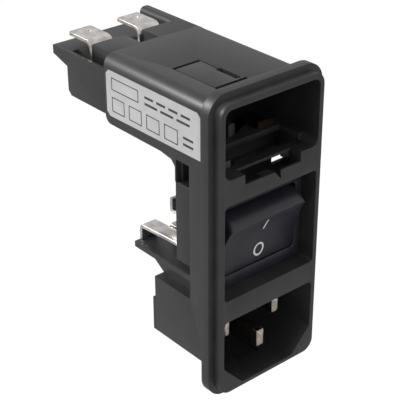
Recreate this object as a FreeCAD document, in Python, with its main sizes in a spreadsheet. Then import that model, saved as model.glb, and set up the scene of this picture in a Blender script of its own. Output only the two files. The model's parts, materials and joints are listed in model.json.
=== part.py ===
import FreeCAD
import Part
import Sketcher
import math
import os
import re

# Power entry module for a panel: appliance inlet at the bottom, rocker switch in the middle and an
# empty fuse drawer bay at the top, with quick-connect tabs on the block behind the bay.
# Frame: X to the right, Y to the back, Z up, in millimetres. The origin is the middle of the
# flange's rear face, which seats on the panel.

SIZES = {
    # Flange and bezel
    "flange_width": 29.5,
    "flange_thickness": 2.2,
    "flange_corner": 4.4,
    "bezel_inset": 1.45,
    "bezel_thickness": 2.0,
    "bezel_corner": 2.7,
    # Moulding behind the flange
    "body_inset": 1.35,
    "side_wall": 1.15,
    "seam_clearance": 0.1,
    "root_radius": 0.2,
    # Appliance inlet
    "inlet_rim": 0.88,
    "inlet_height": 16.8,
    "inlet_straight": 11.35,
    "inlet_floor_width": 14.2,
    "inlet_corner": 1.2,
    "inlet_roof": 1.9,
    "inlet_skin": 0.85,
    "inlet_depth": 17.3,
    "inlet_floor_thickness": 3.5,
    "keyway_top_drop": 1.0,
    "keyway_width": 6.2,
    "keyway_depth": 0.4,
    "keyway_start": 6.05,
    "insert_plate": 0.8,
    "insert_plate_height": 14.0,
    # Contact pins of the inlet
    "pin_width": 2.0,
    "pin_height": 4.0,
    "pin_spacing": 14.0,
    "pin_drop": 6.3,
    "earth_drop": 10.2,
    "pin_setback": 4.8,
    "earth_setback": 1.85,
    "pin_bevel": 0.65,
    "pin_tail_length": 5.0,
    "pin_tail_thickness": 0.8,
    # Shelf over the inlet
    "shelf_gap": 4.3,
    "shelf_thickness": 1.3,
    "shelf_overhang": 6.6,
    "gusset_inset": 2.9,
    "gusset_thickness": 1.0,
    # Switch opening and frame
    "switch_rib": 5.0,
    "switch_height": 21.5,
    "switch_setback": 3.9,
    "switch_corner": 0.9,
    "frame_depth": 4.7,
    "frame_margin": 1.75,
    "frame_seat_gap": 0.6,
    "window_corner": 1.1,
    "rocker_window_drop": 0.35,
    # Rocker, in its own frame with the pivot axis at the centre
    "rocker_side_gap": 0.25,
    "rocker_swing_gap": 0.2,
    "rocker_radius": 7.4,
    "rocker_ridge": 3.77,
    "rocker_dish": 0.97,
    "rocker_back": 1.3,
    "rocker_corner": 1.5,
    "rocker_wall": 1.4,
    "rocker_face_wall": 0.9,
    "rocker_tilt": 17.3,
    "pivot_inset": 1.74,
    "pivot_radius": 1.2,
    "pivot_length": 1.2,
    "pivot_clearance": 0.05,
    # Plungers and their springs
    "pole_inset": 3.55,
    "plunger_radius": 1.2,
    "plunger_clearance": 0.1,
    "plunger_reach": 4.66,
    "plunger_length": 3.4,
    "plunger_tube_wall": 0.6,
    "plunger_tube_end": 2.2,
    "spring_radius": 0.85,
    "spring_wire": 0.15,
    "spring_turns": 4,
    # Contact levers, terminals and the base that holds them
    "lever_length": 9.2,
    "lever_width": 3.0,
    "lever_thickness": 0.6,
    "lever_clearance": 0.1,
    "lever_tilt": 4.5,
    "lever_seat_gap": 0.05,
    "lever_bead_radius": 0.5,
    "contact_radius": 0.9,
    "contact_height": 0.5,
    "contact_reach": 3.7,
    "contact_gap": 0.12,
    "base_inset": 0.2,
    "base_depth": 4.4,
    "base_lift": 1.9,
    "base_floor": 1.0,
    "base_cavity_inset": 4.4,
    "base_cavity_height": 10.4,
    "base_notch_width": 4.7,
    "base_notch_height": 5.8,
    "terminal_width": 2.8,
    "terminal_thickness": 0.8,
    "terminal_reach": 8.4,
    "terminal_hook": 4.0,
    # Bridge strips between the switch base and the shelf
    "strip_width": 3.7,
    "strip_inset": 1.2,
    "strip_rise": 4.5,
    "strip_slope": 0.8,
    "strip_slope_length": 10.6,
    "strip_thickness": 0.8,
    "strip_insertion": 1.8,
    "strip_bend": 1.2,
    # Fuse drawer bay
    "drawer_rib": 5.5,
    "drawer_height": 14.45,
    "drawer_rim": 1.23,
    "drawer_corner": 1.7,
    "tunnel_depth": 31.6,
    "tunnel_rise": 0.65,
    "tunnel_lift": 0.3,
    "tunnel_wall": 1.2,
    "tunnel_edge": 2.7,
    "tunnel_heel": 1.7,
    "fuse_rib_width": 1.6,
    "fuse_rib_height": 2.6,
    "fuse_rib_start": 7.8,
    "latch_left": 7.2,
    "latch_right": 7.6,
    "latch_window_inset": 1.35,
    "latch_overlap": 0.5,
    "latch_drop": 2.15,
    "latch_lip": 3.0,
    "latch_lip_wall": 0.6,
    "latch_pad_left": 2.4,
    "latch_pad_depth": 2.1,
    "latch_vee_left": 0.6,
    "latch_vee_right": 2.25,
    "latch_vee_drop": 1.95,
    "latch_bar_depth": 1.9,
    "latch_bar_height": 0.6,
    "latch_bar_drop": 0.2,
    "latch_bar_bite": 0.2,
    "roof_notch_width": 6.9,
    "roof_notch_depth": 2.8,
    "chamber_roof": 0.8,
    "web_thickness": 1.2,
    "web_front": 8.9,
    "web_rear": 9.3,
    "web_height": 5.0,
    "web_curve": 4.4,
    "web_knee": 1.1,
    "web_knee_drop": 0.53,
    "web_foot_drop": 1.76,
    "pit_wall": 1.0,
    "pit_ledge": 1.4,
    # Snap tongue cut into the top of the tunnel
    "tongue_left": 7.6,
    "tongue_right": 0.8,
    "tongue_overrun": 0.5,
    "tongue_front": 3.6,
    "tongue_back": 16.1,
    "tongue_end_slot": 0.8,
    "tongue_side_slot": 0.3,
    "tongue_wide_slot": 1.4,
    "tongue_wide_start": 1.4,
    "tongue_wide_length": 6.0,
    "tongue_groove": 0.12,
    # Block behind the bay
    "block_drop": 3.2,
    "block_lift": 1.8,
    "block_length": 18.2,
    "block_heel_length": 13.2,
    "block_lip_height": 1.9,
    "block_lip_slant": 1.5,
    "block_heel_corner": 1.0,
    "slab_inset": 2.4,
    "slab_height": 2.8,
    "slab_length": 6.8,
    "slab_slot_left": 2.9,
    "slab_slot_right": 1.85,
    "slab_slot_start": 1.2,
    "ridge_width": 3.4,
    "ridge_edge": 1.2,
    "slab_edge": 1.6,
    "block_wall": 0.9,
    "well_width": 1.6,
    "well_length": 12.1,
    "well_depth": 7.5,
    "well_start": 0.2,
    # Quick-connect tabs, each with the fuse's rear contact at its other end
    "left_tab_inset": 4.95,
    "right_tab_inset": 9.35,
    "tab_width": 5.7,
    "tab_thickness": 0.8,
    "tab_rise": 3.3,
    "tab_length": 8.2,
    "tab_bend": 2.0,
    "tab_tip_bevel": 0.3,
    "tab_dimple_radius": 0.6,
    "tab_dimple_depth": 0.35,
    "tab_dimple_back": 2.5,
    "tab_dimple_offset": 0.5,
    "tab_foot_drop": 5.7,
    "tab_slot_clearance": 0.1,
    "tab_contact_back": 3.6,
    "tab_contact_height": 2.0,
    # Front fuse clips on the floor of the bay
    "clip_inset": 4.25,
    "clip_width": 4.0,
    "clip_thickness": 0.6,
    "clip_front": 6.5,
    "clip_length": 6.5,
    "clip_lip": 0.9,
    "clip_leg": 5.2,
    # Bare label on the left side of the tunnel
    "label_front": 1.4,
    "label_back_margin": 0.8,
    "label_lift": 2.0,
    "label_front_rise": 0.4,
    "label_thickness": 0.12,
    "label_corner": 0.9,
}

# Places worked out from the sizes
PLACES = {
    "front": "-(flange_thickness + bezel_thickness)",
    "lower_height": "inlet_rim + inlet_height + switch_rib + switch_height",
    "bezel_height": "lower_height + drawer_rib + drawer_height + drawer_rim",
    "bezel_side": "flange_width / 2 - bezel_inset",
    "body_side": "flange_width / 2 - body_inset",
    "opening_side": "body_side - side_wall",
    "inlet_bottom": "inlet_rim - bezel_height / 2",
    "inlet_top": "inlet_bottom + inlet_height",
    "inlet_bevel": "inlet_top - inlet_straight",
    "inlet_floor": "front + inlet_depth",
    "shell_bottom": "inlet_bottom - inlet_skin",
    "shell_bevel": "inlet_bevel - inlet_skin / 2",
    "shell_floor_side": "inlet_floor_width / 2 + inlet_skin / 2",
    "shell_top": "inlet_top + inlet_roof",
    "shell_back": "inlet_floor + inlet_floor_thickness",
    "insert_back": "shell_back + insert_plate",
    "insert_plate_top": "shell_bottom + insert_plate_height",
    "pin_level": "inlet_top - pin_drop",
    "earth_level": "inlet_top - earth_drop",
    "shelf_bottom": "shell_top + shelf_gap",
    "shelf_top": "shelf_bottom + shelf_thickness",
    "shelf_back": "shell_back + shelf_overhang",
    "switch_bottom": "inlet_top + switch_rib",
    "switch_top": "switch_bottom + switch_height",
    "frame_front": "front + switch_setback",
    "frame_back": "frame_front + frame_depth",
    "frame_side": "opening_side - seam_clearance",
    "trunk_back": "frame_back + frame_seat_gap",
    "pivot_level": "(switch_bottom + switch_top) / 2 - rocker_window_drop",
    "pivot_back": "frame_front + pivot_inset",
    "rocker_side": "frame_side - frame_margin - rocker_side_gap",
    "rocker_window": "rocker_radius + rocker_swing_gap",
    "pole": "rocker_side - pole_inset",
    "plunger_bore": "plunger_radius + plunger_clearance",
    "rocker_roof": "rocker_ridge - rocker_dish - rocker_face_wall",
    "rocker_cap": "rocker_ridge + rocker_corner",
    "lever_front": "pivot_back + plunger_reach + lever_clearance",
    "lever_back": "lever_front + lever_thickness",
    "base_side": "body_side - base_inset",
    "base_bottom": "shelf_top + base_lift",
    "base_back": "trunk_back + base_depth",
    "base_top": "switch_top + chamber_roof",
    "cavity_back": "base_back - base_floor",
    "contact_level": "pivot_level - contact_reach",
    "contact_back": "lever_back + contact_height + contact_reach * sin(lever_tilt) + contact_gap",
    "strip_top": "shelf_top + strip_rise",
    "strip_side": "base_side - strip_inset",
    "drawer_bottom": "switch_top + drawer_rib",
    "drawer_top": "drawer_bottom + drawer_height",
    "tunnel_top": "drawer_top + tunnel_rise",
    "tunnel_bottom": "drawer_bottom + tunnel_lift",
    "bay_floor": "tunnel_bottom + tunnel_wall",
    "bay_roof": "tunnel_top - tunnel_wall",
    "bay_back": "tunnel_depth - tunnel_wall",
    "latch_right_side": "opening_side - latch_window_inset",
    "latch_lip_back": "front + latch_lip",
    "latch_floor": "drawer_bottom - latch_drop",
    "block_top": "tunnel_top - block_drop",
    "block_bottom": "tunnel_bottom + block_lift",
    "block_back": "tunnel_depth + block_length",
    "slab_back": "tunnel_depth + slab_length",
    "slab_top": "block_top + slab_height",
    "leg_front": "slab_back + tab_slot_clearance",
    "leg_back": "leg_front + tab_thickness",
    "tab_top": "block_top + tab_rise",
    "tab_foot": "block_top - tab_foot_drop",
    "tab_contact_front": "tunnel_depth - tab_contact_back",
    "left_tab_middle": "left_tab_inset - body_side",
    "right_tab_middle": "body_side - right_tab_inset",
    "clip_middle": "opening_side - clip_inset",
}

document = FreeCAD.newDocument("PanelInlet")
sheet = document.addObject("Spreadsheet::Sheet", "Sizes")
for row, (size_name, size_value) in enumerate(SIZES.items(), 1):
    sheet.set(f"A{row}", size_name)
    sheet.set(f"B{row}", str(size_value))
    sheet.setAlias(f"B{row}", size_name)
document.recompute()

PIECES = []


def formula(text):
    """The same formula with every named size and place written as cells of the sheet."""

    def expand(match):
        word = match.group(0)
        if word in PLACES:
            return f"({formula(PLACES[word])})"
        if word in SIZES:
            return f"Sizes.{word}"
        return word

    return re.sub(r"[a-z]+(?:_[a-z]+)*", expand, str(text))


def measure(text):
    return float(sheet.evalExpression(formula(text)))


def bind(thing, prop, text):
    thing.setExpression(prop, formula(text))


def keep(piece, label):
    """Note a finished sub-part under the name that its file gets."""
    piece.Label = label
    PIECES.append(piece)
    return piece


# Bodies made of pads, pockets and rounded edges

PLANE_SIGN = {"XY_Plane": 1, "YZ_Plane": 1, "XZ_Plane": -1}


def new_body(label):
    body = document.addObject("PartDesign::Body", f"{label}_body")
    return keep(body, label)


def new_sketch(body, plane, at):
    """A sketch on one of the body's own planes, moved along the axis across that plane."""
    sketch = body.newObject("Sketcher::SketchObject", "outline")
    support = next(item for item in body.Origin.OriginFeatures if item.Role == plane)
    sketch.AttachmentSupport = [(support, "")]
    sketch.MapMode = "FlatFace"
    bind(sketch, "AttachmentOffset.Base.z", f"{PLANE_SIGN[plane]} * ({at})")
    return sketch


def fix_point(sketch, geometry, place, name, corner):
    """Tie one point of the sketch to its two formulas."""
    for axis, kind, text in zip("xy", ("DistanceX", "DistanceY"), corner):
        rule = sketch.addConstraint(Sketcher.Constraint(kind, -1, 1, geometry, place, measure(text)))
        sketch.renameConstraint(rule, f"{name}{axis}")
        bind(sketch, f"Constraints.{name}{axis}", text)


def draw_outline(body, plane, corners, at):
    sketch = new_sketch(body, plane, at)
    points = [FreeCAD.Vector(measure(across), measure(up), 0) for across, up in corners]
    count = len(points)
    for index, point in enumerate(points):
        sketch.addGeometry(Part.LineSegment(point, points[(index + 1) % count]), False)
    for index in range(count):
        sketch.addConstraint(Sketcher.Constraint("Coincident", index, 2, (index + 1) % count, 1))
    for index, corner in enumerate(corners):
        fix_point(sketch, index, 1, f"corner{index}", corner)
    return sketch


def draw_circle(body, plane, centre, radius, at):
    sketch = new_sketch(body, plane, at)
    middle = FreeCAD.Vector(measure(centre[0]), measure(centre[1]), 0)
    sketch.addGeometry(Part.Circle(middle, FreeCAD.Vector(0, 0, 1), measure(radius)), False)
    fix_point(sketch, 0, 3, "centre", centre)
    rule = sketch.addConstraint(Sketcher.Constraint("Radius", 0, measure(radius)))
    sketch.renameConstraint(rule, "radius")
    bind(sketch, "Constraints.radius", radius)
    return sketch


def extrude(body, kind, plane, sketch, near, far):
    """Add or take away the outline between two levels, and see that the volume changed."""
    before = body.Shape.Volume if not body.Shape.isNull() else 0.0
    feature = body.newObject(f"PartDesign::{kind}", kind.lower())
    feature.Profile = sketch
    bind(feature, "Length", f"({far}) - ({near})")
    feature.Reversed = (plane == "XZ_Plane") == (kind == "Pad")
    document.recompute()
    change = body.Shape.Volume - before
    if (kind == "Pad") != (change > 0) or abs(change) < 1e-6:
        raise RuntimeError(f"{body.Label}: a {kind} changed the volume by {change:.4f}")
    return feature


def pad(body, plane, corners, near, far):
    return extrude(body, "Pad", plane, draw_outline(body, plane, corners, near), near, far)


def pocket(body, plane, corners, near, far):
    return extrude(body, "Pocket", plane, draw_outline(body, plane, corners, near), near, far)


def pad_circle(body, plane, centre, radius, near, far):
    return extrude(body, "Pad", plane, draw_circle(body, plane, centre, radius, near), near, far)


def pocket_circle(body, plane, centre, radius, near, far):
    return extrude(body, "Pocket", plane, draw_circle(body, plane, centre, radius, near), near, far)


def rectangle(left, right, bottom, top):
    return [(left, bottom), (right, bottom), (right, top), (left, top)]


def runs_along(edge, axis):
    direction = edge.tangentAt(edge.FirstParameter)
    return abs(abs(getattr(direction, axis)) - 1) < 1e-6


def lies_at(edge, **places):
    """True where the middle of the edge has every named coordinate."""
    middle = edge.valueAt((edge.FirstParameter + edge.LastParameter) / 2)
    return all(abs(getattr(middle, axis) - measure(text)) < 0.01 for axis, text in places.items())


def finish_edges(body, kind, size_property, size, wanted):
    base = body.Tip
    names = [f"Edge{index}" for index, edge in enumerate(base.Shape.Edges, 1) if wanted(edge)]
    if not names:
        raise RuntimeError(f"{body.Label}: no edge found for a {kind}")
    feature = body.newObject(f"PartDesign::{kind}", kind.lower())
    feature.Base = (base, names)
    bind(feature, size_property, size)
    document.recompute()
    return feature


def round_edges(body, radius, wanted):
    return finish_edges(body, "Fillet", "Radius", radius, wanted)


def bevel_edges(body, size, wanted):
    return finish_edges(body, "Chamfer", "Size", size, wanted)


# Solids made of primitives


def box(name, left, right, front, back, bottom, top):
    solid = document.addObject("Part::Box", name)
    bind(solid, "Length", f"({right}) - ({left})")
    bind(solid, "Width", f"({back}) - ({front})")
    bind(solid, "Height", f"({top}) - ({bottom})")
    bind(solid, "Placement.Base.x", left)
    bind(solid, "Placement.Base.y", front)
    bind(solid, "Placement.Base.z", bottom)
    return solid


TURN_TO = {
    "x": FreeCAD.Rotation(FreeCAD.Vector(0, 1, 0), 90),
    "y": FreeCAD.Rotation(FreeCAD.Vector(1, 0, 0), -90),
}


def rod(name, axis, radius, length, x, y, z):
    """A cylinder from the point along +X or +Y."""
    solid = document.addObject("Part::Cylinder", name)
    bind(solid, "Radius", radius)
    bind(solid, "Height", length)
    solid.Placement = FreeCAD.Placement(FreeCAD.Vector(), TURN_TO[axis])
    bind(solid, "Placement.Base.x", x)
    bind(solid, "Placement.Base.y", y)
    bind(solid, "Placement.Base.z", z)
    return solid


def join(name, *solids):
    whole = document.addObject("Part::MultiFuse", name)
    whole.Shapes = list(solids)
    return whole


def overlap_of(name, first, second):
    shared = document.addObject("Part::MultiCommon", name)
    shared.Shapes = [first, second]
    return shared


def cut(name, solid, *tools):
    rest = solid
    for index, tool in enumerate(tools):
        step = document.addObject("Part::Cut", f"{name}_{index}")
        step.Base = rest
        step.Tool = tool
        rest = step
    return rest


def set_down(solid, angle, y, z):
    """Tilt a piece about X, then put its own centre at the given place."""
    solid.Placement = FreeCAD.Placement(
        FreeCAD.Vector(), FreeCAD.Rotation(FreeCAD.Vector(1, 0, 0), measure(angle))
    )
    bind(solid, "Placement.Rotation.Angle", angle)
    bind(solid, "Placement.Base.y", y)
    bind(solid, "Placement.Base.z", z)
    return solid


# Front moulding: flange, bezel, chamber walls, inlet shell, shelf and the tunnel of the drawer bay


def inlet_outline(side, floor_side, bottom, bevel, top):
    """The inlet's outline: straight sides, and bevels down to a narrower floor."""
    return [
        (f"-({floor_side})", bottom),
        (floor_side, bottom),
        (side, bevel),
        (side, top),
        (f"-({side})", top),
        (f"-({side})", bevel),
    ]


def make_front_housing():
    body = new_body("front_housing")
    half_width = "flange_width / 2"
    half_height = "bezel_height / 2 + bezel_inset"
    pad(
        body,
        "XZ_Plane",
        rectangle(f"-{half_width}", half_width, f"-({half_height})", half_height),
        "-flange_thickness",
        "0",
    )
    round_edges(body, "flange_corner", lambda edge: runs_along(edge, "y"))
    pad(
        body,
        "XZ_Plane",
        rectangle("-bezel_side", "bezel_side", "-bezel_height / 2", "bezel_height / 2"),
        "front",
        "-flange_thickness",
    )
    bezel_middle = "-(flange_thickness + bezel_thickness / 2)"
    round_edges(
        body, "bezel_corner", lambda edge: runs_along(edge, "y") and lies_at(edge, y=bezel_middle)
    )

    trunk = inlet_outline("body_side", "shell_floor_side", "shell_bottom", "shell_bevel", "tunnel_top")
    pad(body, "XZ_Plane", trunk, "0", "trunk_back")
    shell = inlet_outline("body_side", "shell_floor_side", "shell_bottom", "shell_bevel", "shell_top")
    pad(body, "XZ_Plane", shell, "trunk_back", "shell_back")
    pad(
        body,
        "XZ_Plane",
        rectangle("-body_side", "body_side", "tunnel_bottom", "tunnel_top"),
        "trunk_back",
        "tunnel_depth",
    )
    round_edges(
        body,
        "tunnel_edge",
        lambda edge: runs_along(edge, "y") and lies_at(edge, z="tunnel_top"),
    )
    round_edges(
        body,
        "tunnel_heel",
        lambda edge: runs_along(edge, "x") and lies_at(edge, y="tunnel_depth", z="tunnel_bottom"),
    )
    root_side = measure("body_side + root_radius")
    root_end = measure(f"{half_height} - root_radius")
    round_edges(
        body,
        "root_radius",
        lambda edge: lies_at(edge, y="0")
        and edge.BoundBox.XMax < root_side
        and edge.BoundBox.XMin > -root_side
        and abs(edge.CenterOfMass.z) < root_end,
    )
    recess = inlet_outline(
        "opening_side", "inlet_floor_width / 2", "inlet_bottom", "inlet_bevel", "inlet_top"
    )
    pocket(body, "XZ_Plane", recess, "front", "shell_back")
    recess_middle = "(front + shell_back) / 2"
    round_edges(
        body, "inlet_corner", lambda edge: runs_along(edge, "y") and lies_at(edge, y=recess_middle)
    )
    keyway = rectangle(
        "-keyway_width / 2",
        "keyway_width / 2",
        "inlet_bottom - keyway_depth",
        "inlet_top - keyway_top_drop",
    )
    pocket(body, "XZ_Plane", keyway, "front + keyway_start", "shell_back")

    chamber = rectangle("-opening_side", "opening_side", "switch_bottom", "switch_top")
    pocket(body, "XZ_Plane", chamber, "front", "trunk_back")
    chamber_middle = "(front + trunk_back) / 2"
    round_edges(
        body, "switch_corner", lambda edge: runs_along(edge, "y") and lies_at(edge, y=chamber_middle)
    )

    mouth = rectangle("-opening_side", "opening_side", "drawer_bottom", "drawer_top")
    pocket(body, "XZ_Plane", mouth, "front", "0")
    mouth_middle = "front / 2"
    round_edges(
        body, "drawer_corner", lambda edge: runs_along(edge, "y") and lies_at(edge, y=mouth_middle)
    )
    bay = rectangle("-opening_side", "opening_side", "bay_floor", "bay_roof")
    pocket(body, "XZ_Plane", bay, "0", "bay_back")
    rib = rectangle(
        "-fuse_rib_width / 2", "fuse_rib_width / 2", "bay_floor", "bay_floor + fuse_rib_height"
    )
    pad(body, "XZ_Plane", rib, "fuse_rib_start", "bay_back")

    pad(
        body,
        "XZ_Plane",
        rectangle("-body_side", "body_side", "shelf_bottom", "shelf_top"),
        "trunk_back",
        "shelf_back",
    )
    gusset = [
        ("trunk_back", "shell_top"),
        ("shell_back", "shell_top"),
        ("shelf_back", "shelf_bottom"),
        ("trunk_back", "shelf_bottom"),
    ]
    for middle in ("gusset_inset - body_side", "body_side - gusset_inset"):
        near = f"{middle} - gusset_thickness / 2"
        pad(body, "YZ_Plane", gusset, near, f"{middle} + gusset_thickness / 2")

    make_latch_window(body)
    make_snap_tongue(body)
    make_bay_slots(body)
    return body


def make_latch_window(body):
    """Lowered edge for the drawer's latch, with a pit behind it and a bar across the pit."""
    notch = rectangle("-latch_left", "latch_right", "latch_floor", "drawer_bottom + latch_overlap")
    pocket(body, "XZ_Plane", notch, "front", "latch_lip_back")
    window = rectangle(
        "-latch_left", "latch_right_side", "switch_top + chamber_roof", "bay_floor + latch_overlap"
    )
    pocket(body, "XZ_Plane", window, "latch_lip_back", "trunk_back + latch_overlap")
    bar_top = "drawer_bottom - latch_bar_drop"
    bar = rectangle(
        "-latch_left - latch_bar_bite",
        "latch_right_side + latch_bar_bite",
        f"{bar_top} - latch_bar_height",
        bar_top,
    )
    pad(body, "XZ_Plane", bar, "latch_lip_back", "latch_lip_back + latch_bar_depth")
    hollows = (
        ("-latch_left", "-latch_pad_left", "latch_lip_wall"),
        ("-latch_pad_left", "latch_vee_right", "latch_pad_depth"),
        ("latch_vee_right", "latch_right", "latch_lip_wall"),
    )
    for left, right, wall in hollows:
        hollow = rectangle(left, right, "switch_top + chamber_roof", "latch_floor")
        pocket(body, "XZ_Plane", hollow, f"front + {wall}", "latch_lip_back")
    vee = [
        ("latch_vee_right", "latch_floor - latch_vee_drop"),
        ("latch_vee_right", "latch_floor"),
        ("latch_vee_left", "latch_floor"),
    ]
    pocket(body, "XZ_Plane", vee, "front", "front + latch_pad_depth")
    roof_notch = rectangle(
        "latch_right_side - roof_notch_width",
        "latch_right_side",
        "switch_top - latch_overlap",
        "switch_top + chamber_roof + latch_overlap",
    )
    pocket(body, "XZ_Plane", roof_notch, "trunk_back - roof_notch_depth", "trunk_back")

    web_foot = "tunnel_bottom - web_height"
    webs = (
        ("web_front", "-body_side", "web_thickness - body_side"),
        ("trunk_back", "body_side - web_thickness", "body_side"),
    )
    for web_start, near, far in webs:
        web = [
            (web_start, web_foot),
            ("web_rear", web_foot),
            ("web_rear", "tunnel_bottom - web_foot_drop"),
            ("web_rear + web_knee", "tunnel_bottom - web_knee_drop"),
            ("web_rear + web_curve", "tunnel_bottom"),
            (web_start, "tunnel_bottom"),
        ]
        pad(body, "YZ_Plane", web, near, far)
    pit_side = "body_side - web_thickness"
    pit_back = rectangle(f"-({pit_side})", pit_side, web_foot, "tunnel_bottom")
    pad(body, "XZ_Plane", pit_back, "web_rear - pit_wall", "web_rear")
    ledge = rectangle("0", pit_side, "web_rear - pit_wall - pit_ledge", "web_rear - pit_wall")
    pad(body, "XY_Plane", ledge, web_foot, f"{web_foot} + chamber_roof")


def make_snap_tongue(body):
    """Slots on three sides of a tongue in the tunnel's top, and a groove along its hinge side."""
    roof = "bay_roof"
    top = "tunnel_top"
    front_slot_back = "tongue_front + tongue_end_slot"
    front_slot = rectangle("-tongue_left", "tongue_overrun", "tongue_front", front_slot_back)
    pocket(body, "XY_Plane", front_slot, roof, top)
    back_slot_back = "tongue_back + tongue_end_slot"
    back_slot = rectangle("-tongue_left", "-tongue_right", "tongue_back", back_slot_back)
    pocket(body, "XY_Plane", back_slot, roof, top)
    wide_left = "-tongue_right - tongue_wide_slot / 2"
    wide_start = "tongue_front + tongue_wide_start"
    wide_slot = rectangle(
        wide_left, "-tongue_right + tongue_wide_slot / 2", wide_start, f"{wide_start} + tongue_wide_length"
    )
    pocket(body, "XY_Plane", wide_slot, roof, top)
    side_slot = rectangle(
        "-tongue_right - tongue_side_slot / 2",
        "-tongue_right + tongue_side_slot / 2",
        "tongue_front",
        back_slot_back,
    )
    pocket(body, "XY_Plane", side_slot, roof, top)
    hinge_groove = rectangle(
        "-tongue_left", "-tongue_left + tongue_side_slot", front_slot_back, "tongue_back"
    )
    pocket(body, "XY_Plane", hinge_groove, "tunnel_top - tongue_groove", top)


def make_bay_slots(body):
    """Windows in the bay's rear wall for the tabs' contacts, and slots in its floor for the clips."""
    for side in ("left", "right"):
        middle = f"{side}_tab_middle"
        half = "tab_width / 2 + tab_slot_clearance"
        slot = rectangle(
            f"{middle} - ({half})",
            f"{middle} + ({half})",
            "tab_foot - tab_slot_clearance",
            "tab_foot + tab_thickness + tab_slot_clearance",
        )
        pocket(body, "XZ_Plane", slot, "bay_back", "tunnel_depth")
    for sign in (-1, 1):
        clip_half = "clip_width / 2 + tab_slot_clearance"
        leg_back = "clip_front + clip_length"
        floor_slot = rectangle(
            f"{sign} * clip_middle - ({clip_half})",
            f"{sign} * clip_middle + ({clip_half})",
            f"{leg_back} - clip_thickness - tab_slot_clearance",
            f"{leg_back} + tab_slot_clearance",
        )
        pocket(body, "XY_Plane", floor_slot, "tunnel_bottom", "bay_floor")


# Block behind the bay


def make_terminal_block():
    body = new_body("terminal_block")
    heel = "tunnel_depth + block_heel_length"
    lip_bottom = "block_top - block_lip_height"
    profile = [
        ("tunnel_depth", "block_bottom"),
        (f"{heel} - block_heel_corner", "block_bottom"),
        (heel, "block_bottom + block_heel_corner"),
        (heel, f"{lip_bottom} - block_lip_slant"),
        ("block_back", lip_bottom),
        ("block_back", "block_top"),
        ("tunnel_depth", "block_top"),
    ]
    pad(body, "YZ_Plane", profile, "-body_side", "body_side")
    slab = rectangle("slab_inset - body_side", "body_side", "tunnel_depth", "slab_back")
    pad(body, "XY_Plane", slab, "block_top", "slab_top")
    ridge = rectangle("body_side - ridge_width", "body_side", "slab_back", "block_back")
    pad(body, "XY_Plane", ridge, "block_top", "slab_top")
    round_edges(
        body, "slab_edge", lambda edge: runs_along(edge, "y") and lies_at(edge, x="body_side", z="slab_top")
    )
    round_edges(
        body,
        "ridge_edge",
        lambda edge: runs_along(edge, "y") and lies_at(edge, x="body_side - ridge_width", z="slab_top"),
    )
    slot = rectangle(
        "-slab_slot_left", "slab_slot_right", "tunnel_depth + slab_slot_start", "slab_back"
    )
    pocket(body, "XY_Plane", slot, "block_top", "slab_top")
    well_left = "block_wall - body_side"
    well_front = "tunnel_depth + well_start"
    well = rectangle(
        well_left, f"{well_left} + well_width", well_front, f"{well_front} + well_length"
    )
    pocket(body, "XY_Plane", well, "block_top - well_depth", "block_top")
    for side in ("left", "right"):
        middle = f"{side}_tab_middle"
        left = f"{middle} - tab_width / 2 - tab_slot_clearance"
        right = f"{middle} + tab_width / 2 + tab_slot_clearance"
        foot = "tab_foot - tab_slot_clearance"
        leg_slot = rectangle(left, right, "slab_back", "leg_back + tab_slot_clearance")
        pocket(body, "XY_Plane", leg_slot, foot, "block_top")
        channel = rectangle(left, right, foot, "tab_foot + tab_thickness + tab_slot_clearance")
        pocket(body, "XZ_Plane", channel, "tunnel_depth", "leg_back")
    return body


def make_tab(label, middle):
    """Flat tab with its bend and leg, a run under the slab and the upright fuse contact in the bay."""
    body = new_body(label)
    under = "tab_top - tab_thickness"
    profile = [
        ("leg_front", "tab_top"),
        ("leg_front", "tab_foot + tab_thickness"),
        ("tab_contact_front + tab_thickness", "tab_foot + tab_thickness"),
        ("tab_contact_front + tab_thickness", "tab_foot + tab_contact_height"),
        ("tab_contact_front", "tab_foot + tab_contact_height"),
        ("tab_contact_front", "tab_foot"),
        ("leg_back", "tab_foot"),
        ("leg_back", under),
        ("leg_front + tab_length", under),
        ("leg_front + tab_length", "tab_top"),
    ]
    pad(body, "YZ_Plane", profile, f"{middle} - tab_width / 2", f"{middle} + tab_width / 2")
    round_edges(
        body, "tab_bend", lambda edge: runs_along(edge, "x") and lies_at(edge, y="leg_front", z="tab_top")
    )
    round_edges(
        body,
        "tab_bend - tab_thickness",
        lambda edge: runs_along(edge, "x") and lies_at(edge, y="leg_back", z=under),
    )
    bevel_edges(
        body,
        "tab_tip_bevel",
        lambda edge: runs_along(edge, "z") and lies_at(edge, y="leg_front + tab_length"),
    )
    pocket_circle(
        body,
        "XY_Plane",
        (f"{middle} + tab_dimple_offset", "leg_front + tab_length - tab_dimple_back"),
        "tab_dimple_radius",
        "tab_top - tab_dimple_depth",
        "tab_top",
    )
    return body


def make_fuse_clip(label, sign):
    """Clip on the bay's floor: a raised lip at the front and a leg down through the floor."""
    body = new_body(label)
    middle = f"{sign} * clip_middle"
    floor_top = "bay_floor + clip_thickness"
    back = "clip_front + clip_length"
    profile = [
        ("clip_front", "bay_floor"),
        (f"{back} - clip_thickness", "bay_floor"),
        (f"{back} - clip_thickness", "bay_floor - clip_leg"),
        (back, "bay_floor - clip_leg"),
        (back, floor_top),
        ("clip_front + clip_thickness", floor_top),
        ("clip_front + clip_thickness", f"{floor_top} + clip_lip"),
        ("clip_front", f"{floor_top} + clip_lip"),
    ]
    pad(body, "YZ_Plane", profile, f"{middle} - clip_width / 2", f"{middle} + clip_width / 2")
    return body


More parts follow.
